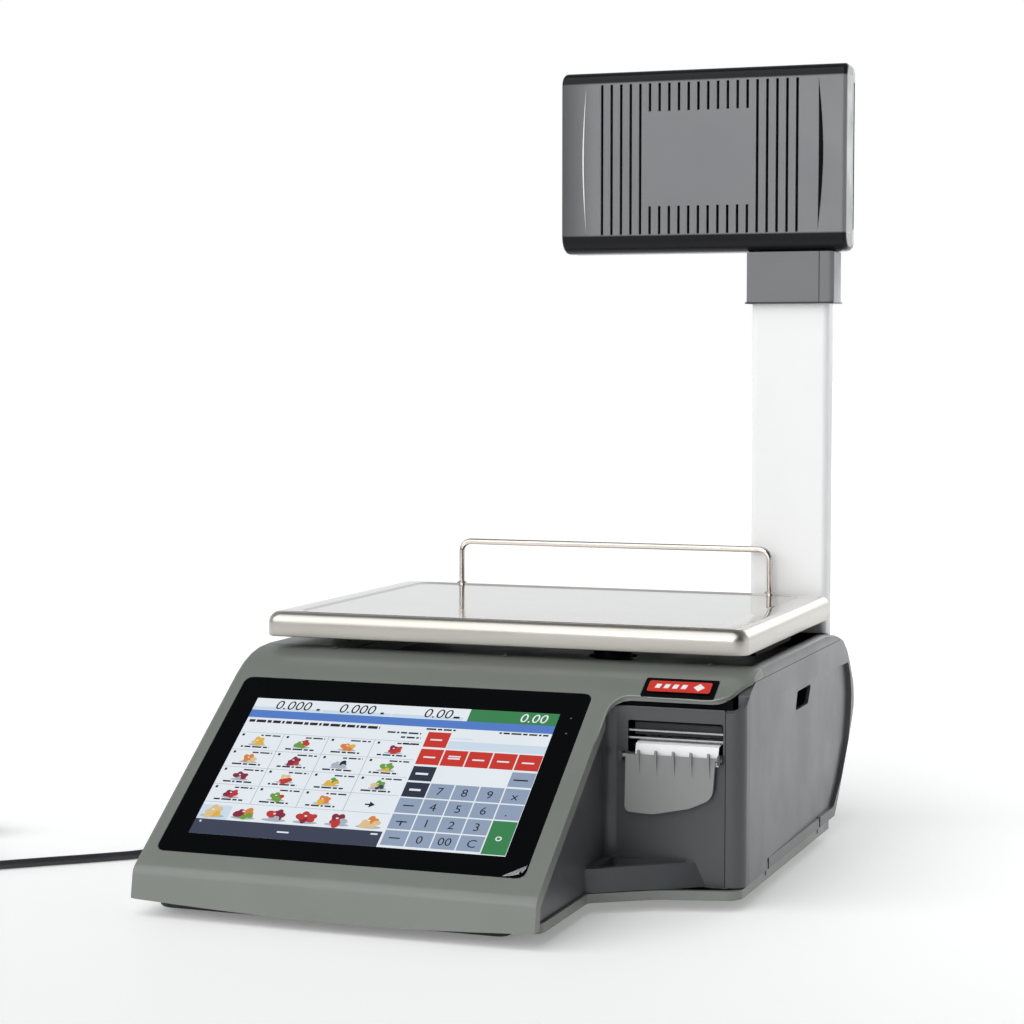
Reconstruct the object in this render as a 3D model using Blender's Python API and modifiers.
"""Retail price scale: a touch-screen counter scale with a label printer, a platter and a display on a pole.

Metres, +Z up. The origin is on the counter, under the middle of the housing. The vendor stands at -Y.
Every sub-part is its own object. Moving sub-parts have their origin on their joint's axis.
"""

import math

import bmesh
import bpy
from mathutils import Matrix, Vector

# ---- Driving dimensions ----------------------------------------------------------------------------------

GAP = 0.0003  # air left between pieces that touch
HALF_WIDTH = 0.194
SKIN = 0.003  # wall of the plastic housing
SEAM_Y = -0.047  # where the front cover meets the top shell
SHELL_BOTTOM = 0.0155
COVER_ARCH = [(-0.30, 0.0175), (-0.24, 0.0150), (-0.18, 0.0120), (-0.11, 0.0092), (-0.045, 0.0078)]
COVER_ARCH += [(0.03, 0.0090), (0.0985, 0.0121), (0.16, 0.0155), (0.24, 0.0190), (0.30, 0.0200)]
SIDE_ROUND = 0.004  # rounding where the side walls meet the outer skin

# Side profile (y, z), from under the front lip up the slope, over the top and down the bulging back.
LIP_FOOT = (-0.2570, -0.010)
NOSE = (-0.2500, 0.0328, 0.011)
BROW = (-0.0691, 0.1630, 0.087)
TOP_Z = BROW[1]
PROFILE_FLOOR = -0.05  # where the profile's outlines close, well under the housing
REAR_CURVE = [(0.10, TOP_Z), (0.150, TOP_Z), (0.2144, 0.153), (0.2447, 0.1243), (0.2533, 0.1055)]
REAR_CURVE += [(0.2471, 0.0831), (0.1976, 0.026), (0.160, -0.010), (0.140, -0.030)]

# The slope's own frame: u runs up it and n out of it, from its foot.
SLOPE_FOOT = Vector((0.0, -0.2223, 0.0527))
SLOPE_ANGLE = math.atan(0.72)
SLOPE = Matrix.Translation(SLOPE_FOOT) @ Matrix.Rotation(SLOPE_ANGLE, 4, "X")

# Screen glass on the slope
GLASS_X = (-0.1825, 0.0845)
GLASS_U = (-0.0162, 0.1570)
GLASS_T = 0.0014
LCD_X = (-0.1720, 0.0730)
LCD_U = (-0.0050, 0.1420)

# Printer bay beside the console
CONSOLE_X = 0.0985  # right edge of the console
BAY_FRONT = -0.0960  # front face of the printer panel
BAND_FRONT = -0.0945  # front edge of the cover's band over the bay
PANEL_X = (0.1032, 0.1800)
PANEL_TOP = 0.1370
OUTLET_X = (0.1105, 0.1785)
OUTLET_Z = (0.1055, 0.1280)
LEDGE_Z = 0.0320

# Badge on the band over the bay
BADGE_FRAME = Matrix.Translation((0.1450, -0.0863, 0.1497)) @ Matrix.Rotation(math.radians(30.8), 4, "X")

# Side door
DOOR_TOP = 0.1543
DOOR_BOTTOM = 0.0162
DOOR_FRONT = -0.0840
DOOR_DEPTH = 0.0080
DOOR_INSIDE = HALF_WIDTH - DOOR_DEPTH
DOOR_AXIS = Vector((0.1912, 0.0, 0.0195))
DOOR_KNUCKLES_Y = (-0.030, 0.130)
KNUCKLE_R = 0.0026
HINGE_PIN_R = 0.0012
DOOR_RELIEF = 0.0014  # room for the door's inner bottom edge, which swings inwards first
PIN_HOLE_R = 0.0015

# Base
TRAY_Z = (0.0085, 0.0150)
TRAY_FLOOR = 0.0020
FOOT_R = 0.0180
STEM_HOLE_R = 0.0060  # clearance for a foot's stem in the plates inside
FOOT_PLACES = {
    "foot_front_left": (-0.163, -0.016),
    "foot_front_right": (0.163, -0.016),
    "foot_rear_left": (-0.163, 0.160),
    "foot_rear_right": (0.163, 0.160),
}

# Weighing parts
PLATTER_X = 0.1850
PLATTER_Y = (-0.0610, 0.2077)
PLATTER_Z = (0.1706, 0.1890)
PLATTER_SHEET = 0.0012
PLATTER_CORNER = 0.0100
WELL_X = (-0.1280, 0.1858)
WELL_Y = (-0.0465, 0.1920)
CARRIER_Z = (0.1700, 0.1760)
CARRIER_CENTRE = (0.045, 0.073)
PAD_PLACES = {
    "platter_pad_front_left": (-0.150, 0.028),
    "platter_pad_front_right": (0.150, 0.028),
    "platter_pad_rear_left": (-0.150, 0.118),
    "platter_pad_rear_right": (0.150, 0.118),
}
RAIL_R = 0.0025  # guard rail's rod
RAIL_X = (-0.1302, 0.1345)
RAIL_Y = 0.2035
RAIL_TOP = 0.2237

# Pole and customer head
POLE_X = (0.1153, 0.1783)
POLE_Y = (0.2137, 0.2353)
POLE_Z = (0.0850, 0.4600)
HEAD_X = (-0.0430, 0.1938)
HEAD_Z = (0.4620, 0.6090)
HEAD_Y = (0.2037, 0.2250, 0.2400)
HEAD_WALL = 0.0025
HEAD_ROLL = (0.0145, 0.0105)  # radii of the rolled lower and upper edges of the vendor side
SLOT_W = 0.0022
SLOT_PITCH = 0.0081
SLOT_FIRST_X = -0.0076
SLOT_Z = (0.4770, 0.5980)
SLOT_SHORT = 0.0225

# Label printer: (y, z) of each axis that runs along X
PLATEN = (-0.0780, 0.1070)
PLATEN_R = 0.0060
GEAR_MODULE = 0.0008
GEAR_TEETH = 20
PINION_TEETH = 10
GEAR_REACH = GEAR_MODULE * (GEAR_TEETH + PINION_TEETH) / 2
MOTOR = (PLATEN[0] + GEAR_REACH * math.sqrt(0.5), PLATEN[1] - GEAR_REACH * math.sqrt(0.5))
GEAR_X = (0.0980, 0.1034)
HEAD_PIVOT = (-0.0600, 0.1270)
ROLL = (0.0450, 0.0800)
ROLL_R = 0.0500
CORE_R = 0.0205
ROLL_X = (0.1170, 0.1760)
WEB_X = (0.1165, 0.1758)
FLAP_AXIS = (-0.1003, 0.1040)

# Left-hand socket bay
SOCKET_BAY_Y = (0.020, 0.140)
SOCKET_BAY_Z = (0.026, 0.060)
SWITCH_PIVOT = (-0.1897, 0.085, 0.043)
CORD_EXIT = Vector((-0.2260, 0.128, 0.043))

# Mains cord
CORD_R = 0.00325
COIL_CENTRE = Vector((-0.4295, -0.1578, 0.0))
COIL_R = (0.0283, 0.0485)
COIL_Z = (0.0003, 0.0136)
CORD_ROUTE = [
    (-0.2263, 0.1280, 0.0430),
    (-0.2400, 0.1280, 0.0425),
    (-0.2560, 0.1265, 0.0375),
    (-0.2700, 0.1220, 0.0270),
    (-0.2810, 0.1130, 0.0145),
    (-0.2880, 0.0990, 0.0068),
    (-0.2915, 0.0800, 0.0037),
    (-0.2910, 0.0500, 0.0034),
    (-0.2850, 0.0150, 0.0034),
    (-0.2770, -0.0200, 0.0034),
    (-0.2710, -0.0500, 0.0034),
    (-0.2730, -0.0720, 0.0034),
    (-0.2815, -0.0868, 0.0034),
    (-0.2953, -0.1001, 0.0034),
    (-0.3123, -0.1152, 0.0034),
    (-0.3295, -0.1298, 0.0034),
    (-0.3471, -0.1454, 0.0034),
    (-0.3640, -0.1603, 0.0034),
    (-0.3797, -0.1742, 0.0034),
]
TAIL_ROUTE = [
    (-0.4745, -0.1312, 0.0108),
    (-0.4727, -0.1180, 0.0140),
    (-0.4698, -0.1075, 0.0176),
    (-0.4664, -0.0984, 0.0187),
    (-0.4651, -0.0947, 0.0187),
]
PLUG_NECK = Vector((-0.4649, -0.0942, 0.0187))
PLUG_HEADING = math.radians(70.7)


# ---- Scene, materials and modelling helpers --------------------------------------------------------------


def clear_scene():
    for obj in list(bpy.data.objects):
        bpy.data.objects.remove(obj)


def new_collection(name):
    made = bpy.data.collections.new(name)
    bpy.context.scene.collection.children.link(made)
    return made


def new_material(name, colour, roughness, metallic=0.0):
    made = bpy.data.materials.new(name)
    made.use_nodes = True
    shader = made.node_tree.nodes["Principled BSDF"]
    shader.inputs["Base Color"].default_value = (*colour, 1.0)
    shader.inputs["Roughness"].default_value = roughness
    shader.inputs["Metallic"].default_value = metallic
    made.diffuse_color = (*colour, 1.0)
    return made


clear_scene()
PARTS = new_collection("retail_price_scale")
CUTTERS = new_collection("cutters")
CUTTERS.hide_render = True

GREY = new_material("shell_grey", (0.165, 0.180, 0.170), 0.45)
SATIN = new_material("shell_light", (0.260, 0.265, 0.265), 0.45)
ANTHRACITE = new_material("anthracite", (0.055, 0.057, 0.065), 0.50)
BLACK = new_material("black_plastic", (0.012, 0.012, 0.014), 0.50)
GLASS = new_material("screen_glass", (0.005, 0.005, 0.006), 0.08)
SCREEN = new_material("screen", (0.45, 0.55, 0.70), 0.30)
STAINLESS = new_material("stainless", (0.62, 0.60, 0.56), 0.28, 1.0)
STEEL = new_material("zinc_steel", (0.55, 0.56, 0.58), 0.40, 1.0)
ALUMINIUM = new_material("aluminium", (0.72, 0.73, 0.74), 0.40, 1.0)
WHITE_METAL = new_material("white_paint", (0.82, 0.82, 0.82), 0.35)
HEAD_GREY = new_material("head_grey", (0.100, 0.103, 0.112), 0.45)
SILVER = new_material("silver_plastic", (0.42, 0.42, 0.44), 0.35)
RUBBER = new_material("rubber", (0.020, 0.020, 0.022), 0.80)
PAPER = new_material("paper", (0.86, 0.86, 0.85), 0.80)
BOARD = new_material("circuit_board", (0.02, 0.16, 0.07), 0.45)
FLAP_GREY = new_material("flap_grey", (0.238, 0.246, 0.235), 0.50)
BADGE = new_material("badge", (0.50, 0.03, 0.02), 0.30)
CORD = new_material("cord_black", (0.023, 0.024, 0.027), 0.55)


def add_object(name, mesh, material, cutter=False, origin=None):
    """Links an object that holds the mesh. With an origin, the mesh is moved so that it stays in place."""
    made = bpy.data.objects.new(name, mesh)
    mesh.materials.clear()
    if cutter:
        CUTTERS.objects.link(made)
        made.hide_render = True
        made.display_type = "WIRE"
    else:
        PARTS.objects.link(made)
        mesh.materials.append(material)
    if origin is not None:
        mesh.transform(Matrix.Translation(-Vector(origin)))
        made.location = origin
    return made


def rounded(corners, steps=4):
    """A closed outline through the corners (u, v, radius), with an arc at each one that has a radius."""
    points = []
    for index, corner in enumerate(corners):
        here = Vector(corner[:2])
        radius = corner[2] if len(corner) > 2 else 0.0
        if not radius:
            points.append(here)
            continue
        back = (Vector(corners[index - 1][:2]) - here).normalized()
        ahead = (Vector(corners[(index + 1) % len(corners)][:2]) - here).normalized()
        half = back.angle(ahead) / 2
        reach = radius / math.tan(half)
        centre = here + (back + ahead).normalized() * (radius / math.sin(half))
        first = here + back * reach - centre
        last = here + ahead * reach - centre
        side = math.copysign(1.0, first.x * last.y - first.y * last.x)
        for step in range(steps + 1):
            turn = Matrix.Rotation(side * (math.pi - 2 * half) * step / steps, 2)
            points.append(centre + turn @ first)
    return points


def smooth(points, steps):
    """Points on a Catmull-Rom curve through the given ones. The first and last only steer it."""
    made = []
    for a, b, c, d in zip(points, points[1:], points[2:], points[3:]):
        a, b, c, d = Vector(a), Vector(b), Vector(c), Vector(d)
        for step in range(steps):
            t = step / steps
            cubic = (3 * b - a - 3 * c + d) * t**3 + (2 * a - 5 * b + 4 * c - d) * t**2
            made.append(b + ((c - a) * t + cubic) / 2)
    made.append(Vector(points[-2]))
    return made


def circle(u, v, radius, sides=16):
    turn = 2 * math.pi / sides
    return [Vector((u + radius * math.cos(turn * k), v + radius * math.sin(turn * k))) for k in range(sides)]


def rectangle(u, v, radius=0.0, steps=3):
    corners = [(u[0], v[0], radius), (u[1], v[0], radius), (u[1], v[1], radius), (u[0], v[1], radius)]
    return rounded(corners, steps)


PLANES = {
    "XY": Matrix(((1, 0, 0), (0, 1, 0), (0, 0, 1))),
    "YZ": Matrix(((0, 0, 1), (1, 0, 0), (0, 1, 0))),
    "XZ": Matrix(((1, 0, 0), (0, 0, -1), (0, 1, 0))),
}


def welded(mesh):
    shape = bmesh.new()
    shape.from_mesh(mesh)
    bmesh.ops.remove_doubles(shape, verts=shape.verts, dist=1e-6)
    bmesh.ops.dissolve_limit(shape, angle_limit=math.radians(0.3), verts=shape.verts, edges=shape.edges)
    bmesh.ops.recalc_face_normals(shape, faces=shape.faces)
    shape.to_mesh(mesh)
    shape.free()
    return mesh


def curve_to_mesh(curve_object, frame):
    """The curve's solid as a welded mesh in world space. The curve is removed."""
    bpy.context.scene.collection.objects.link(curve_object)
    graph = bpy.context.evaluated_depsgraph_get()
    mesh = bpy.data.meshes.new_from_object(curve_object.evaluated_get(graph))
    bpy.data.objects.remove(curve_object)
    mesh.transform(frame)
    return welded(mesh)


def plate(name, outline, plane, low, high, material=None, holes=(), frame=None, **kind):
    """A flat outline, with any holes, extruded from low to high across the plane."""
    curve = bpy.data.curves.new(name, "CURVE")
    curve.dimensions = "2D"
    curve.fill_mode = "BOTH"
    curve.extrude = (high - low) / 2
    for loop in [outline, *holes]:
        spline = curve.splines.new("POLY")
        spline.points.add(len(loop) - 1)
        for point, place in zip(spline.points, loop):
            point.co = (place[0], place[1], 0.0, 1.0)
        spline.use_cyclic_u = True
    middle = (low + high) / 2
    turn = PLANES[plane].to_4x4()
    depth = Matrix.Translation((0, 0, -middle if plane == "XZ" else middle))
    place = (frame or Matrix.Identity(4)) @ turn @ depth
    mesh = curve_to_mesh(bpy.data.objects.new(name, curve), place)
    return add_object(name, mesh, material, **kind)


def box(name, low, high, material=None, frame=None, **kind):
    """A box between two corners."""
    mesh = bpy.data.meshes.new(name)
    shape = bmesh.new()
    low, high = Vector(low), Vector(high)
    place = Matrix.Translation((low + high) / 2) @ Matrix.Diagonal((*(high - low), 1.0))
    bmesh.ops.create_cube(shape, size=1.0, matrix=(frame or Matrix.Identity(4)) @ place)
    shape.to_mesh(mesh)
    shape.free()
    return add_object(name, mesh, material, **kind)


def rod(name, start, end, radius, material=None, sides=20, tip=None, frame=None, **kind):
    """A cylinder from start to end, or a cone if the tip has another radius."""
    start, end = Vector(start), Vector(end)
    along = end - start
    mesh = bpy.data.meshes.new(name)
    shape = bmesh.new()
    place = Matrix.Translation((start + end) / 2) @ along.to_track_quat("Z", "Y").to_matrix().to_4x4()
    place = (frame or Matrix.Identity(4)) @ place
    size = {"radius1": radius, "radius2": radius if tip is None else tip, "depth": along.length}
    bmesh.ops.create_cone(shape, cap_ends=True, segments=sides, matrix=place, **size)
    shape.to_mesh(mesh)
    shape.free()
    made = add_object(name, mesh, material, **kind)
    mesh.shade_smooth()
    mesh.set_sharp_from_angle(angle=math.radians(35))
    return made


def turned(name, profile, place, material, steps=24, **kind):
    """A closed turned solid. The profile (radius, height) runs from the top down its outer side.

    It starts and ends on the axis, or ends at its own first point to make a ring.
    """
    mesh = bpy.data.meshes.new(name)
    shape = bmesh.new()
    ring = profile[0] == profile[-1]
    verts = [shape.verts.new((radius, 0.0, height)) for radius, height in profile[: len(profile) - ring]]
    if ring:
        verts.append(verts[0])
    for first, second in zip(verts, verts[1:]):
        shape.edges.new((first, second))
    shape.to_mesh(mesh)
    shape.free()
    made = add_object(name, mesh, material, **kind)
    made.matrix_world = place
    screw = made.modifiers.new("turn", "SCREW")
    screw.steps = steps
    screw.render_steps = steps
    screw.use_merge_vertices = True
    screw.merge_threshold = 0.00001
    return made


def tube(name, points, radius, material, sides_setting=2):
    """A round bar along the points, with filled ends."""
    curve = bpy.data.curves.new(name, "CURVE")
    curve.dimensions = "3D"
    curve.bevel_depth = radius
    curve.bevel_resolution = sides_setting
    curve.use_fill_caps = True
    spline = curve.splines.new("POLY")
    spline.points.add(len(points) - 1)
    for point, place in zip(spline.points, points):
        point.co = (*place, 1.0)
    made = bpy.data.objects.new(name, curve)
    curve.materials.append(material)
    PARTS.objects.link(made)
    return made


def boolean(target, tool, operation="DIFFERENCE"):
    step = target.modifiers.new(tool.name, "BOOLEAN")
    step.object = tool
    step.operation = operation
    step.solver = "EXACT"
    return target


def cut(target, *tools):
    for tool in tools:
        boolean(target, tool)
    return target


def join(target, *tools):
    for tool in tools:
        boolean(target, tool, "UNION")
    return target


def bevel(target, width, segments=2, angle=60):
    step = target.modifiers.new("bevel", "BEVEL")
    step.width = width
    step.segments = segments
    step.limit_method = "ANGLE"
    step.angle_limit = math.radians(angle)
    return target


# ---- The housing's side profile --------------------------------------------------------------------------


def profile_chain():
    """The housing's skin seen from the side, from the front lip over the top to the back."""
    front = rounded([LIP_FOOT, NOSE, BROW, (0.05, TOP_Z), (0.05, -0.05)])
    front = [point for point in front if point.y > LIP_FOOT[1] - 1e-6 and point.x < 0.04]
    return front + smooth(REAR_CURVE, 3)


def inset_chain(distance):
    """The chain moved inwards, along each point's normal."""
    chain = profile_chain()
    moved = []
    for index, point in enumerate(chain):
        before = chain[max(index - 1, 0)]
        after = chain[min(index + 1, len(chain) - 1)]
        along = (after - before).normalized()
        moved.append(point + Vector((along.y, -along.x)) * distance)
    return moved


def between(first, second, axis, value):
    """The point between two others where one coordinate has the value."""
    share = (value - first[axis]) / (second[axis] - first[axis])
    return first.lerp(second, share)


def profile(distance=0.0, front=None, back=None):
    """Closed outline under the chain, optionally only behind one y or in front of another."""
    chain = inset_chain(distance)
    if front is not None:
        start = next(k for k, point in enumerate(chain) if point.x > front)
        chain = [between(chain[start - 1], chain[start], 0, front)] + chain[start:]
    if back is not None:
        stop = next(k for k, point in enumerate(chain) if point.x > back)
        chain = chain[:stop] + [between(chain[stop - 1], chain[stop], 0, back)]
    return chain + [Vector((chain[-1].x, PROFILE_FLOOR)), Vector((chain[0].x, PROFILE_FLOOR))]


def rear_edge(distance, low, high):
    """The chain's rear side, from low to high."""
    chain = [point for point in inset_chain(distance) if point.x > 0.15]
    chain.reverse()
    start = next(k for k, point in enumerate(chain) if point.y > low)
    stop = next(k for k, point in enumerate(chain) if point.y > high)
    first = between(chain[start - 1], chain[start], 1, low)
    last = between(chain[stop - 1], chain[stop], 1, high)
    return [first, *chain[start:stop], last]


def housing_blank(name, material):
    """The whole housing as one block, with its side edges rounded, ready to be cut into its shells."""
    blank = plate(name, profile(), "YZ", -HALF_WIDTH, HALF_WIDTH, material)
    return bevel(blank, SIDE_ROUND, 2)


def door_opening():
    """The side door's place in the top shell."""
    low = (DOOR_INSIDE - GAP, -0.30, -0.05)
    return box("door_opening_cutter", low, (0.21, 0.30, DOOR_TOP + GAP), cutter=True)


def door_opening_under_band():
    """The side door's place in the front cover, which stops under the band's skin."""
    outline = profile(SKIN, front=-0.109)
    opening = plate("cover_door_cutter", outline, "YZ", DOOR_INSIDE - GAP, 0.21, cutter=True)
    over_door = box("cover_door_cap_cutter", (0.10, -0.40, DOOR_TOP + GAP), (0.30, 0.40, 0.30), cutter=True)
    return cut(opening, over_door)


# ---- Base ------------------------------------------------------------------------------------------------


def tray_outline(inset=0.0):
    """Plan of the base, narrower under the console and wide under the printer."""
    i = inset
    corners = [
        (-0.1900 + i, -0.2400 + i, 0.012),
        (0.0975 - i, -0.2400 + i, 0.008),
        (0.0975 - i, -0.1440 + i, 0.006),
        (0.1380 - i, -0.1175 + i, 0.040),
        (0.1925 - i, -0.1020 + i, 0.012),
        (0.1925 - i, 0.1800 - i, 0.012),
        (-0.1900 + i, 0.1800 - i, 0.012),
    ]
    return rounded(corners, 3)


def hinge_lug(name, y):
    """A lug on the base that holds one of the door's hinge pins."""
    x, z = DOOR_AXIS.x, DOOR_AXIS.z
    corners = [(x - 0.0034, 0.0120), (x + 0.0018, 0.0120), (x + 0.0022, z, 0.0)]
    corners += [(x + 0.0016, z + 0.0022), (x - 0.0016, z + 0.0024), (x - 0.0034, z + 0.0010)]
    return plate(name, rounded(corners), "XZ", y - 0.002, y + 0.002, cutter=True)


def make_base():
    tray = plate("base_tray", tray_outline(), "XY", *TRAY_Z, GREY)
    floor = TRAY_Z[0] + TRAY_FLOOR
    cut(tray, plate("tray_pocket_cutter", tray_outline(SKIN), "XY", floor, 0.03, cutter=True))
    for name, (x, y) in FOOT_PLACES.items():
        cut(tray, rod(name + "_hole_cutter", (x, y, 0.0), (x, y, 0.02), 0.0048, cutter=True))
    for index, y in enumerate(DOOR_KNUCKLES_Y):
        join(tray, hinge_lug(f"tray_lug_{index}", y))
        start = (DOOR_AXIS.x, y - 0.006, DOOR_AXIS.z)
        end = (DOOR_AXIS.x, y + 0.006, DOOR_AXIS.z)
        cut(tray, rod(f"tray_lug_hole_{index}", start, end, PIN_HOLE_R, sides=12, cutter=True))
    pan_corners = [(-0.184, -0.234, 0.010), (0.0725, -0.234, 0.008), (0.0765, -0.126, 0.008)]
    pan_corners += [(-0.184, -0.126, 0.010)]
    pan = plate("console_underpan", rounded(pan_corners, 3), "XY", 0.0030, TRAY_Z[0] - GAP, BLACK)
    bevel(pan, 0.0015, 1)


def make_feet():
    """Levelling feet: a rubber-soled disc on a threaded stem."""
    profile_points = [(0.0, 0.0240), (0.0036, 0.0240), (0.0036, 0.0082), (0.0150, 0.0078), (FOOT_R, 0.0050)]
    profile_points += [(FOOT_R, 0.0012), (FOOT_R - 0.0012, 0.0), (0.0, 0.0)]
    for name, (x, y) in FOOT_PLACES.items():
        turned(name, profile_points, Matrix.Translation((x, y, 0.0)), RUBBER, 20)


def make_chassis():
    outline = rectangle((-0.183, 0.100), (-0.035, 0.168), 0.006)
    chassis = plate("chassis_plate", outline, "XY", 0.0108, 0.0123, STEEL)
    for name in ("foot_front_left", "foot_rear_left"):
        x, y = FOOT_PLACES[name]
        cut(chassis, rod(name + "_chassis_cutter", (x, y, 0.0), (x, y, 0.03), STEM_HOLE_R, cutter=True))
    board = box("main_board", (-0.170, -0.205, 0.0112), (0.030, -0.100, 0.0128), BOARD)
    chips = [(-0.120, -0.150, 0.036, 0.036, 0.010), (-0.040, -0.150, 0.030, 0.020, 0.006)]
    chips += [(0.010, -0.190, 0.016, 0.016, 0.012)]
    for index, (x, y, wide, deep, tall) in enumerate(chips):
        low_corner = (x - wide / 2, y - deep / 2, 0.0120)
        high_corner = (x + wide / 2, y + deep / 2, 0.0128 + tall)
        join(board, box(f"board_part_{index}", low_corner, high_corner, cutter=True))
    supply = box("power_supply", (-0.178, 0.098, 0.0127), (-0.092, 0.146, 0.0480), STEEL)
    bevel(supply, 0.0012, 1)


# ---- Shells ----------------------------------------------------------------------------------------------


def make_top_shell():
    shell = housing_blank("top_shell", SATIN)
    inner = plate("shell_inner_cutter", profile(SKIN), "YZ", -HALF_WIDTH + SKIN, 0.1895, cutter=True)
    front = box("shell_front_cutter", (-0.25, -0.40, -0.10), (0.25, SEAM_Y + GAP, 0.30), cutter=True)
    under = box("shell_under_cutter", (-0.25, -0.40, -0.10), (0.25, 0.40, SHELL_BOTTOM), cutter=True)
    well = box("shell_well_cutter", (WELL_X[0], -0.10, 0.140), (WELL_X[1], WELL_Y[1], 0.20), cutter=True)
    hole_x = (POLE_X[0] - 0.0005, POLE_X[1] + 0.0005)
    hole = rectangle(hole_x, (POLE_Y[0] - 0.0005, POLE_Y[1] + 0.0005), 0.005)
    pole_hole = plate("shell_pole_cutter", hole, "XY", 0.100, 0.200, cutter=True)
    sockets = rectangle(SOCKET_BAY_Y, SOCKET_BAY_Z, 0.004)
    socket_bay = plate("shell_socket_cutter", sockets, "YZ", -0.21, -0.18, cutter=True)
    foot_low = (DOOR_INSIDE - DOOR_RELIEF, 0.10, -0.05)
    door_foot = box("shell_door_foot_cutter", foot_low, (0.21, 0.30, 0.0240), cutter=True)
    cut(shell, inner, front, under, door_opening(), door_foot, well, pole_hole, socket_bay)


def make_well():
    """The black trough under the platter, let into the top shell."""
    low = (WELL_X[0] + GAP, WELL_Y[0] + GAP, 0.1485)
    high = (WELL_X[1] - GAP, WELL_Y[1] - GAP, 0.1598)
    trough = box("well_trough", low, high, BLACK)
    wall = 0.0015
    inner_low = (low[0] + wall, low[1] + wall, low[2] + wall)
    inner_high = (high[0] - wall, high[1] - wall, 0.20)
    cut(trough, box("well_inner_cutter", inner_low, inner_high, cutter=True))
    x, y = CARRIER_CENTRE
    cut(trough, rod("well_hub_cutter", (x, y, 0.14), (x, y, 0.17), 0.0190, cutter=True))
    level = [(0.0, 0.0070), (0.0070, 0.0070), (0.0080, 0.0060), (0.0080, 0.0), (0.0, 0.0)]
    turned("spirit_level", level, Matrix.Translation((-0.105, -0.030, 0.1503)), GLASS, 20)


def make_front_cover():
    """The sloping console cover, with the band over the printer bay."""
    cover = housing_blank("front_cover", GREY)
    left, cheek, right = -HALF_WIDTH + SKIN, CONSOLE_X - SKIN, HALF_WIDTH - SKIN
    inner = plate("cover_inner_cutter", profile(SKIN), "YZ", left, cheek, cutter=True)
    band = profile(SKIN, front=-0.109)
    band_inner = plate("cover_band_cutter", band, "YZ", cheek - GAP, right, cutter=True)
    flange = profile(0.009, back=-0.100)
    flange_inner = plate("cover_flange_cutter", flange, "YZ", cheek - 0.002, cheek + 0.005, cutter=True)
    bay = [(CONSOLE_X, -0.30), (0.25, -0.30), (0.25, -0.0685), (0.1965, -0.0685)]
    bay += [(0.1790, BAND_FRONT, 0.016), (CONSOLE_X, BAND_FRONT, 0.014)]
    bay_cutter = plate("cover_bay_cutter", rounded(bay), "XY", -0.05, 0.25, cutter=True)
    rear = box("cover_rear_cutter", (-0.25, SEAM_Y, -0.10), (0.25, 0.40, 0.30), cutter=True)
    arch = smooth(COVER_ARCH, 3)
    arch += [Vector((COVER_ARCH[-2][0], -0.10)), Vector((COVER_ARCH[1][0], -0.10))]
    under = plate("cover_under_cutter", arch, "XZ", -0.40, 0.40, cutter=True)
    cut(cover, inner, band_inner, flange_inner, bay_cutter, rear, under, door_opening_under_band())
    on_slope = {"frame": SLOPE, "cutter": True}
    pocket_u = (GLASS_U[0] - GAP, GLASS_U[1] + GAP)
    pocket = rectangle((GLASS_X[0] - GAP, GLASS_X[1] + GAP), pocket_u, 0.006)
    cut(cover, plate("cover_glass_cutter", pocket, "XY", -0.0018, 0.02, **on_slope))
    cut(cover, plate("cover_window_cutter", rectangle(LCD_X, LCD_U, 0.001), "XY", -0.02, 0.02, **on_slope))
    low, high = (-0.0265, -0.0110, -0.0006), (0.0265, 0.0110, 0.01)
    cut(cover, box("cover_badge_cutter", low, high, frame=BADGE_FRAME, cutter=True))


def make_badge():
    outline = rectangle((-0.0260, 0.0260), (-0.0105, 0.0105), 0.001, 2)
    plate("badge_plate", outline, "XY", -0.0003, 0.0006, BADGE, frame=BADGE_FRAME)


def make_display():
    glass = rectangle(GLASS_X, GLASS_U, 0.006, 4)
    plate("touch_glass", glass, "XY", -0.0002 - GLASS_T, -0.0002, GLASS, frame=SLOPE)
    clear = 0.0005
    low = (LCD_X[0] + clear, LCD_U[0] + clear, -0.0080)
    box("lcd_panel", low, (LCD_X[1] - clear, LCD_U[1] - clear, -0.0020), SCREEN, frame=SLOPE)
    outline = rectangle((-0.178, 0.079), (-0.010, 0.147), 0.004)
    carrier = plate("display_carrier", outline, "XY", -0.0100, -0.0084, STEEL, frame=SLOPE)
    low, high = (-0.150, -0.0100, -0.0180), (0.050, -0.0084, -0.0092)
    join(carrier, box("display_carrier_lip", low, high, frame=SLOPE, cutter=True))


# ---- Printer bay -----------------------------------------------------------------------------------------


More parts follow.
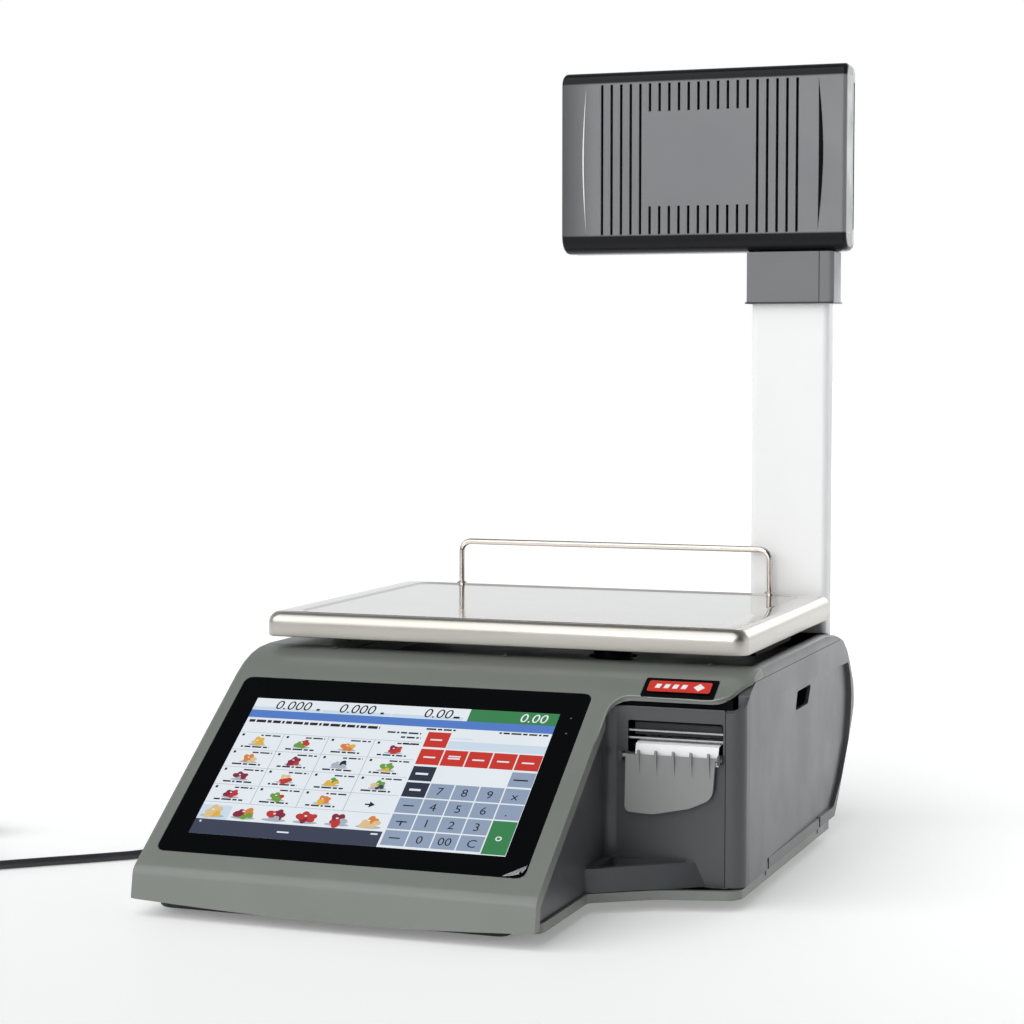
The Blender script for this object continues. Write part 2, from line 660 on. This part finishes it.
def make_bay():
    """Anthracite moulding of the bay: the console's cheek, a filleted corner, the panel and the ledge."""
    back = BAY_FRONT + 0.0024
    cheek = CONSOLE_X - SKIN - GAP
    outline = [(cheek, -0.246), (cheek, BAY_FRONT, 0.008), (PANEL_X[1], BAY_FRONT), (PANEL_X[1], back)]
    outline += [(cheek - 0.0024, back, 0.0100), (cheek - 0.0024, -0.246)]
    bay = plate("bay_housing", rounded(outline), "XY", SHELL_BOTTOM, PANEL_TOP, ANTHRACITE)
    under_skin = plate("bay_roof_cutter", profile(0.0040), "YZ", -0.30, 0.30, cutter=True)
    boolean(bay, under_skin, "INTERSECT")
    join(bay, make_ledge(cheek))
    side, back_edge = cheek + 0.0055, BAY_FRONT - 0.0002
    recess = [(side, -0.1350), (0.1140, -0.1255, 0.010), (0.1330, -0.1130, 0.020)]
    recess += [(0.1500, -0.1030, 0.006), (0.1550, back_edge, 0.002), (side, back_edge, 0.004)]
    cut(bay, plate("ledge_recess_cutter", rounded(recess, 3), "XY", LEDGE_Z - 0.0065, 0.050, cutter=True))
    for index, low in enumerate((0.1062, 0.1764)):
        high = (low + 0.0020, BAY_FRONT + 0.001, 0.1072)
        join(bay, box(f"flap_boss_{index}", (low, -0.1034, 0.1008), high, cutter=True))
        start = (low - 0.002, *FLAP_AXIS)
        end = (low + 0.004, *FLAP_AXIS)
        cut(bay, rod(f"flap_boss_hole_{index}", start, end, 0.0017, sides=12, cutter=True))
    outlet = rectangle(OUTLET_X, OUTLET_Z, 0.0015, 2)
    cut(bay, plate("outlet_cutter", outlet, "XZ", BAY_FRONT - 0.002, back + 0.004, cutter=True))


def make_ledge(cheek):
    """The ledge's apron: a loft from its wide foot to its narrower top."""
    left, back = cheek - 0.001, BAY_FRONT + 0.001
    steer = [(left - 0.008, -0.1440)]
    foot = [(left, -0.1435), (0.1040, -0.1405), (0.1160, -0.1310), (0.1350, -0.1185), (0.1520, -0.1085)]
    foot = smooth(steer + foot + [(0.1680, back), (0.1800, -0.0850)], 3) + [Vector((left, back))]
    brim = [(left, -0.1437), (0.1035, -0.1400), (0.1150, -0.1300), (0.1330, -0.1170), (0.1485, -0.1065)]
    brim = smooth(steer + brim + [(0.1600, back), (0.1700, -0.0850)], 3) + [Vector((left, back))]
    shape = bmesh.new()
    low = [shape.verts.new((x, y, SHELL_BOTTOM)) for x, y in foot]
    high = [shape.verts.new((x, y, LEDGE_Z)) for x, y in brim]
    shape.faces.new(list(reversed(low)))
    shape.faces.new(high)
    for index in range(len(low)):
        after = (index + 1) % len(low)
        shape.faces.new((low[index], low[after], high[after], high[index]))
    mesh = bpy.data.meshes.new("ledge_apron")
    bmesh.ops.recalc_face_normals(shape, faces=shape.faces)
    shape.to_mesh(mesh)
    shape.free()
    return add_object("ledge_apron", mesh, None, cutter=True)


def make_flap():
    """Ribbed paper flap that hangs from two stub pins below the label outlet."""
    corners = [(0.1105, 0.1050, 0.001), (0.1098, 0.0650, 0.0040), (0.1300, 0.0640, 0.020)]
    corners += [(0.1560, 0.0695, 0.020), (0.1725, 0.0770, 0.010), (0.1745, 0.1050, 0.001)]
    origin = (0.1425, *FLAP_AXIS)
    flap = plate("label_flap", rounded(corners), "XZ", -0.1014, -0.0992, FLAP_GREY, origin=origin)
    for index in range(5):
        x = 0.1200 + index * 0.0125
        fin = [(-0.1000, 0.1040), (-0.1000, 0.1075), (-0.1035, 0.1088), (-0.1042, 0.1060), (-0.1010, 0.0880)]
        tool = plate(f"flap_rib_{index}", rounded(fin), "YZ", x - 0.0007, x + 0.0007, cutter=True)
        join(flap, tool)
    for index, (low, high) in enumerate(((0.1058, 0.1115), (0.1735, 0.1788))):
        stub = rod(f"flap_stub_{index}", (low, *FLAP_AXIS), (high, *FLAP_AXIS), 0.0014, sides=12, cutter=True)
        join(flap, stub)


# ---- Label printer ---------------------------------------------------------------------------------------


def gear_outline(centre, teeth, first_tooth):
    """Outline of a small gear with narrow trapezoid teeth, which leaves backlash."""
    pitch = GEAR_MODULE * teeth / 2
    root = pitch - 1.15 * GEAR_MODULE
    tip = pitch + 0.75 * GEAR_MODULE
    points = []
    for tooth in range(teeth):
        middle = first_tooth + 2 * math.pi * tooth / teeth
        for radius, half in ((root, 0.30), (tip, 0.11), (tip, -0.11), (root, -0.30)):
            angle = middle - half * 2 * math.pi / teeth
            points.append(Vector(centre) + Vector((math.cos(angle), math.sin(angle))) * radius)
    return points


def make_printer_frame():
    """Folded steel frame: a left plate, a motor plate beside it and a small right plate, tied by two bars."""
    left = [(-0.0880, 0.0127), (0.1200, 0.0127), (0.1200, 0.0900, 0.010), (0.0700, 0.1330, 0.020)]
    left.append((-0.0880, 0.1330))
    frame = plate("printer_frame", rounded(left), "YZ", 0.1050, 0.1066, STEEL)
    right = rectangle((-0.0880, -0.0520), (0.0930, 0.1330), 0.003)
    motor = rectangle((-0.0880, -0.0520), (0.0820, 0.1240), 0.002)
    join(frame, plate("frame_right", right, "YZ", 0.1783, 0.1797, cutter=True))
    join(frame, plate("frame_motor", motor, "YZ", 0.0958, 0.0972, cutter=True))
    join(frame, box("frame_roof", (0.0958, -0.0870, 0.1205), (0.1060, -0.0530, 0.1219), cutter=True))
    join(frame, box("frame_foot", (0.1050, -0.0870, 0.0127), (0.1797, 0.1190, 0.0141), cutter=True))
    join(frame, box("frame_tie", (0.1060, -0.0560, 0.0935), (0.1790, -0.0525, 0.0985), cutter=True))
    holes = [(PLATEN, 0.0030, 0.100, 0.190), (HEAD_PIVOT, 0.0024, 0.100, 0.190)]
    holes.append((MOTOR, 0.0055, 0.090, 0.100))
    for index, (place, radius, low, high) in enumerate(holes):
        tool = rod(f"frame_hole_{index}", (low, *place), (high, *place), radius, sides=16, cutter=True)
        cut(frame, tool)
    x, y = FOOT_PLACES["foot_front_right"]
    cut(frame, rod("frame_foot_stem_cutter", (x, y, 0.0), (x, y, 0.03), STEM_HOLE_R, cutter=True))


def make_printer():
    make_printer_frame()
    y, z = PLATEN
    platen = rod("platen_roller", (0.1165, y, z), (0.1765, y, z), PLATEN_R, RUBBER, 24, origin=(0.1465, y, z))
    join(platen, rod("platen_shaft", (GEAR_X[1] + GAP, y, z), (0.1805, y, z), 0.0026, sides=16, cutter=True))
    mesh_angle = -math.pi / 4
    pinion_phase = mesh_angle + math.pi + math.pi / PINION_TEETH
    gear = gear_outline(PLATEN, GEAR_TEETH, mesh_angle)
    plate("platen_gear", gear, "YZ", *GEAR_X, BLACK, origin=(sum(GEAR_X) / 2, *PLATEN))
    pinion = gear_outline(MOTOR, PINION_TEETH, pinion_phase)
    plate("motor_pinion", pinion, "YZ", *GEAR_X, STEEL, origin=(sum(GEAR_X) / 2, *MOTOR))
    half = 0.0140
    low = (0.0720, MOTOR[0] - half, MOTOR[1] - half)
    high = (0.0955, MOTOR[0] + half, MOTOR[1] + half)
    motor = bevel(box("stepper_motor", low, high, BLACK), 0.0025, 1)
    shaft_ends = (0.0950, *MOTOR), (GEAR_X[0] - GAP, *MOTOR)
    join(motor, rod("motor_shaft", *shaft_ends, 0.0020, sides=12, cutter=True))
    make_print_head()
    for name, z_low in (("tear_bar", 0.1148), ("peel_bar", 0.1200)):
        box(name, (0.1069, -0.0933, z_low), (0.1780, -0.0905, z_low + 0.0012), STEEL)
    make_label_roll()


def make_print_head():
    """Thermal head on its pressure beam, with a release lever, on two pivot stubs."""
    outline = [(-0.0870, 0.1170), (-0.0640, 0.1190), (-0.0572, 0.1240, 0.002), (-0.0572, 0.1300, 0.002)]
    outline += [(-0.0700, 0.1310), (-0.0870, 0.1260, 0.002)]
    origin = (0.1465, *HEAD_PIVOT)
    head = plate("print_head", rounded(outline, 2), "YZ", 0.1130, 0.1755, BLACK, origin=origin)
    ends = (0.1043, *HEAD_PIVOT), (0.1810, *HEAD_PIVOT)
    join(head, rod("head_pivots", *ends, 0.0020, sides=12, cutter=True))
    lever = [(-0.0680, 0.1290), (-0.0620, 0.1290), (-0.0620, 0.1390, 0.001), (-0.0660, 0.1400, 0.001)]
    join(head, plate("head_lever", rounded(lever, 2), "YZ", 0.1640, 0.1750, cutter=True))


def make_label_roll():
    y, z = ROLL
    core = {"holes": [circle(y, z, CORE_R, 24)], "origin": (sum(ROLL_X) / 2, y, z)}
    plate("label_roll", circle(y, z, ROLL_R, 40), "YZ", *ROLL_X, PAPER, **core)
    spindle = rod("roll_spindle", (0.1069, y, z), (0.1770, y, z), CORE_R - 0.0006, BLACK, 24)
    join(spindle, rod("spindle_flange", (0.1069, y, z), (0.1100, y, z), 0.0300, sides=24, cutter=True))
    web = [(0.0400, 0.1309), (-0.0200, 0.1245), (-0.0600, 0.1161), (-0.0780, 0.1136), (-0.0920, 0.1131)]
    web += [(-0.0962, 0.1120), (-0.0978, 0.1080), (-0.0979, 0.0990)]
    upper = [Vector(point) for point in web]
    lower = [point + Vector((0.0001, -0.0003)) for point in upper[:5]]
    lower += [point + Vector((0.0003, -0.0001)) for point in upper[5:]]
    plate("label_web", upper + list(reversed(lower)), "YZ", *WEB_X, PAPER)


# ---- Side door -------------------------------------------------------------------------------------------


def leaning(y, degrees):
    """A frame turned a little about the vertical line at (0, y)."""
    turn = Matrix.Rotation(math.radians(degrees), 4, "Z")
    return Matrix.Translation((0, y, 0)) @ turn @ Matrix.Translation((0, -y, 0))


def make_door():
    """Right-hand door, hinged at its foot. Its field is dished, deepest at the back."""
    door = housing_blank("side_door", SATIN)
    cut(door, box("door_inner_side_cutter", (-0.30, -0.40, -0.10), (DOOR_INSIDE, 0.40, 0.30), cutter=True))
    cut(door, box("door_front_cutter", (-0.30, -0.40, -0.10), (0.30, DOOR_FRONT, 0.30), cutter=True))
    cut(door, box("door_top_cutter", (-0.30, -0.40, DOOR_TOP), (0.30, 0.40, 0.30), cutter=True))
    cut(door, box("door_under_cutter", (-0.30, -0.40, -0.10), (0.30, 0.40, DOOR_BOTTOM), cutter=True))
    brow = profile(0.0040, front=-0.100, back=SEAM_Y + 0.003)[:-2]
    over_brow = brow + [Vector((brow[-1].x, 0.20)), Vector((brow[0].x, 0.20))]
    cut(door, plate("door_brow_cutter", over_brow, "YZ", 0.15, 0.25, cutter=True))
    wall = 0.0025
    hollow = [Vector((DOOR_FRONT + wall, DOOR_BOTTOM + wall + 0.004))]
    hollow += rear_edge(wall, DOOR_BOTTOM + wall + 0.004, DOOR_TOP - wall)
    hollow += [Vector((-0.058, DOOR_TOP - wall)), Vector((DOOR_FRONT + wall, 0.1400))]
    hollow_frame = leaning(DOOR_FRONT, 0.65)
    cut(door, plate("door_hollow_cutter", hollow, "YZ", 0.160, 0.1915, frame=hollow_frame, cutter=True))
    field = [(-0.046, 0.0240, 0.012), (0.176, 0.0240, 0.010), (0.2020, 0.0420), (0.2280, 0.0690)]
    field += [(0.2360, 0.0900), (0.2380, 0.1060), (0.2330, 0.1220), (0.2250, 0.1330, 0.004)]
    field.append((-0.040, 0.1380, 0.010))
    dish = rounded(field, 3)
    cut(door, plate("door_dish_cutter", dish, "YZ", 0.19405, 0.220, frame=leaning(-0.05, 0.72), cutter=True))
    finger = [(0.0540, 0.1175, 0.002), (0.0955, 0.1175, 0.002)]
    finger += [(0.1060, 0.1310, 0.002), (0.0600, 0.1310, 0.002)]
    cut(door, plate("door_finger_cutter", rounded(finger, 2), "YZ", 0.160, 0.220, cutter=True))
    add_door_knuckles(door)


def add_door_knuckles(door):
    x, z = DOOR_AXIS.x, DOOR_AXIS.z
    for index, y in enumerate(DOOR_KNUCKLES_Y):
        low, high = (0.18, y - 0.0024, 0.010), (0.20, y + 0.0024, 0.0242)
        cut(door, box(f"door_lug_cutter_{index}", low, high, cutter=True))
        for side in (-1, 1):
            start = (x, y + side * 0.0026, z)
            end = (x, y + side * 0.0080, z)
            join(door, rod(f"door_knuckle_{index}_{side}", start, end, KNUCKLE_R, sides=16, cutter=True))
        hole_ends = (x, y - 0.0086, z), (x, y + 0.0086, z)
        cut(door, rod(f"door_pin_cutter_{index}", *hole_ends, PIN_HOLE_R, sides=12, cutter=True))
        name = "door_hinge_pin_" + ("front", "rear")[index]
        rod(name, (x, y - 0.0080, z), (x, y + 0.0080, z), HINGE_PIN_R, STEEL, 12)


def make_door_trim():
    """Dark rounded corner strip at the door's front edge."""
    outer, inner = HALF_WIDTH, HALF_WIDTH - 0.0030
    front = -0.0990
    back = DOOR_FRONT - GAP
    corners = [(PANEL_X[1] + 0.0012, front), (outer, front, 0.0095), (outer, back), (inner, back)]
    corners += [(inner, front + 0.0028, 0.0070), (PANEL_X[1] + 0.0012, front + 0.0028)]
    trim = plate("door_front_trim", rounded(corners, 5), "XY", DOOR_BOTTOM, 0.150, ANTHRACITE)
    boolean(trim, plate("trim_brow_cutter", profile(0.0045), "YZ", -0.30, 0.30, cutter=True), "INTERSECT")


def set_door_origin():
    """Puts the door's origin, and its strip's, on the hinge axis."""
    for name in ("side_door", "door_front_trim"):
        piece = bpy.data.objects[name]
        piece.data.transform(Matrix.Translation(-DOOR_AXIS))
        piece.location = DOOR_AXIS


# ---- Weighing parts --------------------------------------------------------------------------------------


def make_load_cell():
    x, y = CARRIER_CENTRE
    cell = box("load_cell", (-0.060, y - 0.015, 0.1010), (0.060, y + 0.015, 0.1230), ALUMINIUM)
    for index, offset in enumerate((-0.0085, 0.0085)):
        start = (offset, y - 0.03, 0.112)
        end = (offset, y + 0.03, 0.112)
        cut(cell, rod(f"load_cell_eye_{index}", start, end, 0.0090, sides=20, cutter=True))
    corners = [(-0.085, 0.0126), (-0.020, 0.0126), (-0.020, 0.0166), (-0.0560, 0.0166, 0.002)]
    corners += [(-0.0560, 0.0957, 0.002), (-0.0300, 0.0957), (-0.0300, 0.1007), (-0.0610, 0.1007, 0.003)]
    corners += [(-0.0610, 0.0166, 0.002), (-0.085, 0.0166)]
    plate("load_cell_bracket", rounded(corners, 2), "XZ", y - 0.017, y + 0.017, STEEL)


def make_carrier():
    """Load carrier: hub, cross bars and side rails that stand on the free end of the load cell."""
    x, y = CARRIER_CENTRE
    low, high = CARRIER_Z
    rows = sorted({place[1] for place in PAD_PLACES.values()})
    plan = [(-0.072, 0.000, 0.010), (0.072, 0.000, 0.010), (0.072, 0.146, 0.010), (-0.072, 0.146, 0.010)]
    carrier = plate("load_carrier", rounded(plan, 2), "XY", low, high, BLACK)
    for index, row in enumerate(rows):
        bar = rectangle((-0.168, 0.172), (row - 0.013, row + 0.013), 0.004, 2)
        join(carrier, plate(f"carrier_bar_{index}", bar, "XY", low + 0.0004, high - 0.0004, cutter=True))
    for index, (side, foot) in enumerate(((-0.1660, 0.1652), (0.1610, 0.1610))):
        corners = (side, 0.0200, foot), (side + 0.0100, 0.1260, low + 0.001)
        join(carrier, box(f"carrier_rail_{index}", *corners, cutter=True))
    join(carrier, rod("carrier_hub", (x, y, 0.1233), (x, y, low + 0.001), 0.0150, sides=24, cutter=True))
    for name, (pad_x, pad_y) in PAD_PLACES.items():
        top = PLATTER_Z[1] - PLATTER_SHEET - GAP
        rod(name, (pad_x, pad_y, high + GAP), (pad_x, pad_y, top), 0.0085, RUBBER, 16)


def make_platter():
    """Stainless platter with a rolled lip, and the wire guard along its back edge."""
    low = (-PLATTER_X, PLATTER_Y[0], PLATTER_Z[0] - 0.010)
    high = (PLATTER_X, PLATTER_Y[1], PLATTER_Z[1])
    middle = ((low[0] + high[0]) / 2, (low[1] + high[1]) / 2, PLATTER_Z[0])
    outline = rectangle((low[0], high[0]), (low[1], high[1]), PLATTER_CORNER, 4)
    platter = bevel(plate("platter", outline, "XY", low[2], high[2], STAINLESS, origin=middle), 0.0060, 3)
    t = PLATTER_SHEET
    inside = rectangle((low[0] + t, high[0] - t), (low[1] + t, high[1] - t), PLATTER_CORNER - t, 4)
    inner = bevel(plate("platter_inner", inside, "XY", low[2] - 0.02, high[2] - t, cutter=True), 0.0050, 3)
    skirt = box("platter_skirt", (-0.3, -0.3, 0.10), (0.3, 0.4, PLATTER_Z[0]), cutter=True)
    cut(platter, inner, skirt)
    for index, x in enumerate(RAIL_X):
        ends = (x, RAIL_Y, 0.17), (x, RAIL_Y, 0.21)
        cut(platter, rod(f"platter_rail_hole_{index}", *ends, RAIL_R + 0.0004, sides=12, cutter=True))
    bend = 0.008
    foot = 0.1800
    corners = [(RAIL_X[0], foot), (RAIL_X[0], RAIL_TOP, bend), (RAIL_X[1], RAIL_TOP, bend), (RAIL_X[1], foot)]
    path = [Vector((point.x, RAIL_Y, point.y)) for point in rounded(corners, 5)]
    tube("guard_rail", path, RAIL_R, STAINLESS, 3)


# ---- Pole and customer head ------------------------------------------------------------------------------


def make_pole():
    wall = 0.0015
    outer = rectangle(POLE_X, POLE_Y, 0.005, 4)
    inner_x = (POLE_X[0] + wall, POLE_X[1] - wall)
    inner_y = (POLE_Y[0] + wall, POLE_Y[1] - wall)
    plate("pole", outer, "XY", *POLE_Z, WHITE_METAL, holes=[rectangle(inner_x, inner_y, 0.0035, 4)])
    corners = [(0.1500, 0.0127), (0.1680, 0.0127), (0.2130, 0.0800), (0.2340, 0.0860)]
    gusset = rounded(corners + [(0.2340, 0.1270), (0.2090, 0.1270), (0.1500, 0.0300)])
    bracket = plate("pole_bracket", gusset, "YZ", POLE_X[0] - 0.0025, POLE_X[0] - 0.0005, STEEL)
    far = (POLE_X[1] + 0.0005, POLE_X[1] + 0.0025)
    join(bracket, plate("bracket_right", gusset, "YZ", *far, cutter=True))
    wide = (POLE_X[0] - 0.0020, POLE_X[1] + 0.0020)
    join(bracket, box("bracket_web", (wide[0], 0.2100, 0.0850), (wide[1], 0.2120, 0.1265), cutter=True))
    join(bracket, box("bracket_foot", (wide[0], 0.1505, 0.0127), (wide[1], 0.1675, 0.0145), cutter=True))
    x, y = FOOT_PLACES["foot_rear_right"]
    cut(bracket, rod("bracket_stem_cutter", (x, y, 0.0), (x, y, 0.03), STEM_HOLE_R, cutter=True))


def make_collar():
    """Moulded collar between the pole and the head."""
    outline = rectangle((POLE_X[0] - 0.0035, POLE_X[1] + 0.0050), (0.2085, 0.2400), 0.004, 3)
    hole_x = (POLE_X[0] - 0.0004, POLE_X[1] + 0.0004)
    hole = rectangle(hole_x, (POLE_Y[0] - 0.0004, POLE_Y[1] + 0.0004), 0.005, 4)
    plate("pole_collar", outline, "XY", 0.4205, HEAD_Z[0] - GAP, HEAD_GREY, holes=[hole])


def slot_boxes():
    """(x, low z, high z) of every louvre slot in the head's vendor side."""
    slots = []
    for column in range(21):
        x = SLOT_FIRST_X + column * SLOT_PITCH
        if 5 <= column <= 15:
            slots.append((x, SLOT_Z[0], SLOT_Z[0] + SLOT_SHORT))
            slots.append((x, SLOT_Z[1] - SLOT_SHORT, SLOT_Z[1]))
        else:
            slots.append((x, *SLOT_Z))
    return slots


def make_slot_cutter():
    shape = bmesh.new()
    for x, low, high in slot_boxes():
        middle = Matrix.Translation((x, HEAD_Y[0], (low + high) / 2))
        stretch = Matrix.Diagonal((SLOT_W, 0.0090, high - low, 1.0))
        bmesh.ops.create_cube(shape, size=1.0, matrix=middle @ stretch)
    mesh = bpy.data.meshes.new("head_slot_cutter")
    shape.to_mesh(mesh)
    shape.free()
    return add_object("head_slot_cutter", mesh, None, cutter=True)


def head_roll(inset, back):
    """Side view of the head's vendor side: a flat face between two rolled edges."""
    front = HEAD_Y[0] + inset
    low, high = HEAD_Z[0] + inset, HEAD_Z[1] - inset
    lower_edge = (front, low, HEAD_ROLL[0] - inset)
    upper_edge = (front, high, HEAD_ROLL[1] - inset)
    return rounded([(back, low), lower_edge, upper_edge, (back, high)], 5)


def make_head():
    front, joint, back = HEAD_Y
    w = HEAD_WALL
    shell = plate("head_vendor_shell", head_roll(0.0, joint + 0.02), "YZ", *HEAD_X, HEAD_GREY)
    bevel(shell, 0.0035, 3)
    cut(shell, box("head_joint_cutter", (-0.2, joint, 0.40), (0.3, 0.3, 0.70), cutter=True))
    inner_x = (HEAD_X[0] + w, HEAD_X[1] - w)
    cut(shell, plate("head_inner_cutter", head_roll(w, joint + 0.03), "YZ", *inner_x, cutter=True))
    cut(shell, make_slot_cutter())

    bezel_low = (HEAD_X[0], joint - 0.02, HEAD_Z[0])
    bezel = bevel(box("head_customer_bezel", bezel_low, (HEAD_X[1], back, HEAD_Z[1]), SILVER), 0.006, 3)
    cut(bezel, box("bezel_joint_cutter", (-0.2, 0.1, 0.40), (0.3, joint + GAP, 0.70), cutter=True))
    hollow_low = (HEAD_X[0] + w, joint - 0.01, HEAD_Z[0] + w)
    hollow_high = (HEAD_X[1] - w, back - w, HEAD_Z[1] - w)
    cut(bezel, box("bezel_inner_cutter", hollow_low, hollow_high, cutter=True))
    window_x = (HEAD_X[0] + 0.018, HEAD_X[1] - 0.018)
    window_z = (HEAD_Z[0] + 0.022, HEAD_Z[1] - 0.022)
    window = rectangle(window_x, window_z, 0.003, 2)
    cut(bezel, plate("bezel_window_cutter", window, "XZ", joint, back + 0.01, cutter=True))
    lens_x = (window_x[0] + GAP, window_x[1] - GAP)
    lens_z = (window_z[0] + GAP, window_z[1] - GAP)
    plate("customer_lens", rectangle(lens_x, lens_z, 0.003, 2), "XZ", back - 0.0022, back - 0.0006, GLASS)
    lcd_low = (window_x[0] - 0.004, joint + 0.0040, window_z[0] - 0.004)
    lcd_high = (window_x[1] + 0.004, back - w - GAP, window_z[1] + 0.004)
    box("customer_display", lcd_low, lcd_high, SCREEN)
    board_low = (window_x[0] + 0.004, joint - 0.0040, window_z[0] + 0.004)
    board = box("head_board", board_low, (window_x[1] - 0.004, joint - 0.0024, window_z[1] - 0.004), BOARD)
    low, high = (0.060, joint - 0.0080, 0.520), (0.090, joint - 0.0030, 0.545)
    join(board, box("head_board_chip", low, high, cutter=True))


# ---- Sockets, switch and mains cord ----------------------------------------------------------------------


def make_sockets():
    """Left-hand socket bay: its panel, network socket, rocker switch and cord gland."""
    panel_x = (-HALF_WIDTH + SKIN + GAP, -HALF_WIDTH + SKIN + 0.0018)
    outline = rectangle((0.0120, 0.1480), (0.0180, 0.0680), 0.003, 2)
    panel = plate("socket_panel", outline, "YZ", *panel_x, BLACK)
    port_y, port_z = (0.0330, 0.0450), (0.0390, 0.0470)
    low, high = (-0.20, port_y[0], port_z[0]), (-0.18, port_y[1], port_z[1])
    cut(panel, box("panel_port_cutter", low, high, cutter=True))
    switch_y, switch_z = SWITCH_PIVOT[1:]
    low = (-0.20, switch_y - 0.0105, switch_z - 0.0070)
    high = (-0.18, switch_y + 0.0105, switch_z + 0.0070)
    cut(panel, box("panel_switch_cutter", low, high, cutter=True))
    _, gland_y, gland_z = CORD_EXIT
    ends = (-0.20, gland_y, gland_z), (-0.18, gland_y, gland_z)
    cut(panel, rod("panel_gland_cutter", *ends, 0.0070, cutter=True))

    socket = box("network_socket", (panel_x[1] + GAP, 0.0310, 0.0360), (-0.1720, 0.0470, 0.0500), STEEL)
    port_end = (-0.1770, port_y[1], port_z[1])
    cut(socket, box("network_socket_cutter", (-0.20, port_y[0], port_z[0]), port_end, cutter=True))

    x, y, z = SWITCH_PIVOT
    dip, tall, half = 0.0010, 0.0028, 0.0094
    rocker = [(-tall, -half), (-dip, 0.0), (-tall, half), (0.0030, 0.0080), (0.0030, -0.0080)]
    rest = Matrix.Translation((x, y, 0)) @ Matrix.Rotation(math.radians(-5), 4, "Z")
    placed = {"frame": rest, "origin": SWITCH_PIVOT}
    plate("power_switch", rounded(rocker), "XY", z - 0.0062, z + 0.0062, BLACK, **placed)

    # The gland's own +Z points out of the housing, towards -X.
    wall = -HALF_WIDTH + SKIN
    outwards = Matrix.Translation((wall, gland_y, gland_z)) @ Matrix.Rotation(-math.pi / 2, 4, "Y")
    reach = wall - CORD_EXIT.x
    gland = [(0.0, reach), (0.0043, reach), (0.0060, 0.0040), (0.0095, 0.0026), (0.0095, 0.0), (0.0064, 0.0)]
    gland += [(0.0064, -0.0080), (0.0, -0.0080)]
    turned("cord_gland", gland, outwards, RUBBER, 20)


def resampled(points, spacing):
    """Points along the smooth curve through the given ones, about one spacing apart."""
    first = Vector(points[0]) * 2 - Vector(points[1])
    last = Vector(points[-1]) * 2 - Vector(points[-2])
    dense = smooth([first, *points, last], 12)
    kept = [dense[0]]
    for point in dense:
        if (point - kept[-1]).length >= spacing:
            kept.append(point)
    kept[-1] = dense[-1]
    return kept


def make_cord():
    tube("power_cord", resampled(CORD_ROUTE, 5.0 * CORD_R), CORD_R, CORD)
    tube("cord_tail", resampled(TAIL_ROUTE, 1.5 * CORD_R), CORD_R, CORD)
    low, high = COIL_Z
    small, large = COIL_R
    edge = 0.003
    ring = [(large - edge, high), (large, high - edge), (large, low + edge), (large - edge, low)]
    ring += [(small + edge, low), (small, low + edge), (small, high - edge), (small + edge, high)]
    ring.append(ring[0])
    turned("cord_coil", ring, Matrix.Translation(COIL_CENTRE), CORD, 32)
    make_tie()
    make_plug()


def make_tie():
    """Strap that holds the coil: an arch over its winding, on the side away from the plug."""
    foot = 0.0005
    thick = 0.0010
    inner = (COIL_R[0] - 0.0015, COIL_R[1] + 0.0005)
    outer = (inner[0] - thick, inner[1] + thick)
    low, high = COIL_Z[1] + 0.0005, COIL_Z[1] + 0.0005 + thick
    arch = [(outer[0], foot), (outer[0], high, 0.002), (outer[1], high, 0.002), (outer[1], foot)]
    arch += [(inner[1], foot), (inner[1], low, 0.001), (inner[0], low, 0.001), (inner[0], foot)]
    frame = Matrix.Translation(COIL_CENTRE) @ Matrix.Rotation(math.radians(20), 4, "Z")
    plate("cord_tie", rounded(arch, 2), "XZ", -0.005, 0.005, BLACK, frame=frame)


def make_plug():
    """Round moulded mains plug on its side: tapered strain relief, body and two pins."""
    # The plug's own +Z points along the pins.
    place = Matrix.Translation(PLUG_NECK) @ Matrix.Rotation(PLUG_HEADING, 4, "Z")
    place = place @ Matrix.Rotation(math.pi / 2, 4, "Y")
    profile_points = [(0.0, 0.0500), (0.0165, 0.0500), (0.0180, 0.0480), (0.0180, 0.0300), (0.0140, 0.0240)]
    profile_points += [(0.0070, 0.0215), (0.0042, 0.0), (0.0, 0.0)]
    plug = turned("mains_plug", profile_points, place, CORD, 24)
    for index, offset in enumerate((-0.0095, 0.0095)):
        ends = (0.0, offset, 0.0480), (0.0, offset, 0.0690)
        join(plug, rod(f"plug_pin_{index}", *ends, 0.0024, sides=12, frame=place, cutter=True))


def main():
    make_base()
    make_feet()
    make_chassis()
    make_top_shell()
    make_well()
    make_front_cover()
    make_badge()
    make_display()
    make_bay()
    make_flap()
    make_printer()
    make_door()
    make_door_trim()
    set_door_origin()
    make_load_cell()
    make_carrier()
    make_platter()
    make_pole()
    make_collar()
    make_head()
    make_sockets()
    make_cord()


main()
